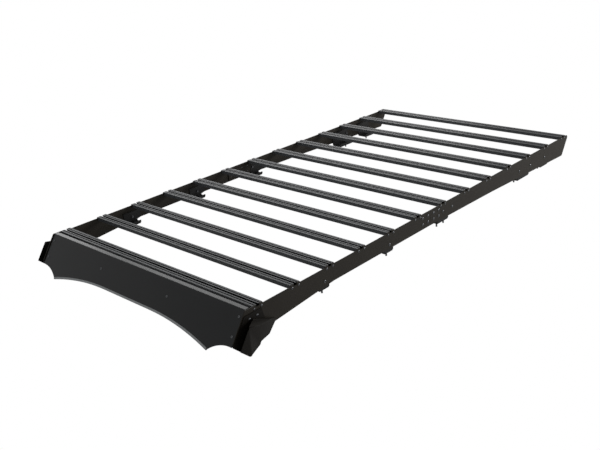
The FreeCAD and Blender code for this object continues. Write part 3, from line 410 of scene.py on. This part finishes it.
# ---------------------------------------------------------------- moulded scoops
def moulded(node, radius):
    """A node's own shell with the long outer edges of its pod rounded, as a moulding has them."""
    shell = bmesh.new()
    shell.from_mesh(NODES[node].data)
    bmesh.ops.remove_doubles(shell, verts=shell.verts, dist=0.01 * MM)
    bmesh.ops.dissolve_limit(shell, angle_limit=math.radians(1), verts=shell.verts, edges=shell.edges)
    flange = min(abs(corner[0]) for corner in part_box(node)) + 4 * MM
    chosen = [
        edge for edge in shell.edges
        if edge.is_manifold and edge.is_convex and edge.calc_length() > 25 * MM
        and math.radians(25) < edge.calc_face_angle() < math.radians(110)
        and all(face.calc_area() > 300 * MM ** 2 for face in edge.link_faces)
        and all(abs(vert.co.x) > flange for vert in edge.verts)]
    bmesh.ops.bevel(
        shell, geom=chosen, offset=radius, segments=4, profile=0.5, affect="EDGES", clamp_overlap=False)
    bmesh.ops.recalc_face_normals(shell, faces=shell.faces)
    mesh = bpy.data.meshes.new(node + "_moulded")
    shell.to_mesh(mesh)
    shell.free()
    mesh.shade_smooth()
    mesh.set_sharp_from_angle(angle=math.radians(35))
    mesh.materials.append(ABS)
    piece = bpy.data.objects.new(node + "_moulded", mesh)
    bpy.context.scene.collection.objects.link(piece)
    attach(piece, "root")
    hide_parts(node)


for side in SIDES:
    moulded(f"side_scoop_{side}", 2 * MM)


# ---------------------------------------------------------------- studio
def seen_or_mirrored(tree):
    """1 for rays from the camera, or mirrored or passed on towards it, and 0 for the rest."""
    rays = add(tree, "ShaderNodeLightPath")
    seen = add(tree, "ShaderNodeMath", {
        0: rays.outputs["Is Camera Ray"], 1: rays.outputs["Is Glossy Ray"]}, operation="MAXIMUM")
    return add(tree, "ShaderNodeMath", {
        0: seen, 1: rays.outputs["Is Transmission Ray"]}, operation="MAXIMUM")


def stage_floor():
    """A wide white floor: white to the eye and in reflections, and pale paper to light bouncing off it."""
    mesh = bpy.data.meshes.new("floor")
    corners = [(-FLOOR, -FLOOR, 0), (FLOOR, -FLOOR, 0), (FLOOR, FLOOR, 0), (-FLOOR, FLOOR, 0)]
    mesh.from_pydata(corners, [], [(0, 1, 2, 3)])
    floor = bpy.data.objects.new("floor", mesh)
    bpy.context.scene.collection.objects.link(floor)
    material = bpy.data.materials.new("white_paper")
    material.use_nodes = True
    tree = material.node_tree
    tree.nodes.clear()
    seen = seen_or_mirrored(tree)
    paper = add(tree, "ShaderNodeBsdfDiffuse", {"Color": linear("#f4f4f4")})
    glow = add(tree, "ShaderNodeEmission", {"Color": linear("#ffffff"), "Strength": 1.0})
    mix = add(tree, "ShaderNodeMixShader", {0: seen, 1: paper.outputs[0], 2: glow.outputs[0]})
    out = add(tree, "ShaderNodeOutputMaterial")
    tree.links.new(mix.outputs[0], out.inputs["Surface"])
    mesh.materials.append(material)


def white_world():
    """White where it is seen directly or mirrored, and a soft grey where it lights the rack."""
    world = bpy.data.worlds.new("studio")
    bpy.context.scene.world = world
    world.use_nodes = True
    tree = world.node_tree
    tree.nodes.clear()
    seen = seen_or_mirrored(tree)
    white = add(tree, "ShaderNodeBackground", {"Color": linear("#ffffff"), "Strength": 1.0})
    soft = add(tree, "ShaderNodeBackground", {"Color": linear("#ffffff"), "Strength": 0.5})
    mix = add(tree, "ShaderNodeMixShader", {0: seen, 1: soft.outputs[0], 2: white.outputs[0]})
    out = add(tree, "ShaderNodeOutputWorld")
    tree.links.new(mix.outputs[0], out.inputs["Surface"])


def area_lamp(name, place, target, width, power):
    """A rectangular lamp at a place, turned to a target; width is its two sides."""
    lamp = bpy.data.lights.new(name, "AREA")
    lamp.shape = "RECTANGLE"
    lamp.size, lamp.size_y = width
    lamp.energy = power
    holder = bpy.data.objects.new(name, lamp)
    holder.location = place
    holder.rotation_euler = (Vector(target) - Vector(place)).to_track_quat("-Z", "Y").to_euler()
    bpy.context.scene.collection.objects.link(holder)


def camera():
    """Long-lens view from the front right, turned slightly about its own axis."""
    azimuth, rise, roll = (math.radians(a) for a in (44.35, 22.30, -4.509))
    back = Vector((math.sin(azimuth) * math.cos(rise), -math.cos(azimuth) * math.cos(rise), math.sin(rise)))
    right = Vector((0, 0, 1)).cross(back).normalized()
    up = back.cross(right)
    across = right * math.cos(roll) + up * math.sin(roll)
    above = up * math.cos(roll) - right * math.sin(roll)
    lens = bpy.data.cameras.new("camera")
    lens.sensor_width = 36
    lens.lens = 48.35
    holder = bpy.data.objects.new("camera", lens)
    turn = Matrix((across, above, back)).transposed().to_4x4()
    holder.matrix_world = Matrix.Translation((2.5347, -2.8295, 1.4907)) @ turn
    bpy.context.scene.collection.objects.link(holder)
    bpy.context.scene.camera = holder


stage_floor()
white_world()
area_lamp("top_soft_box", (0.5, 0.5, 4.0), (0, 0, 0), (4, 5), 40)
area_lamp("rear_soft_box", (-3.4, 3.4, 2.1), (0, 0, 0), (4, 3), 110)
area_lamp("side_soft_box", (3.6, 3.4, 1.6), (0.6, 1.0, 0), (2, 1.5), 270)
area_lamp("front_left_card", (-3.9, 0.4, 1.55), (-0.6, -1.2, 0.15), (1.0, 1.0), 15)
camera()
bpy.context.scene.view_settings.view_transform = "Standard"
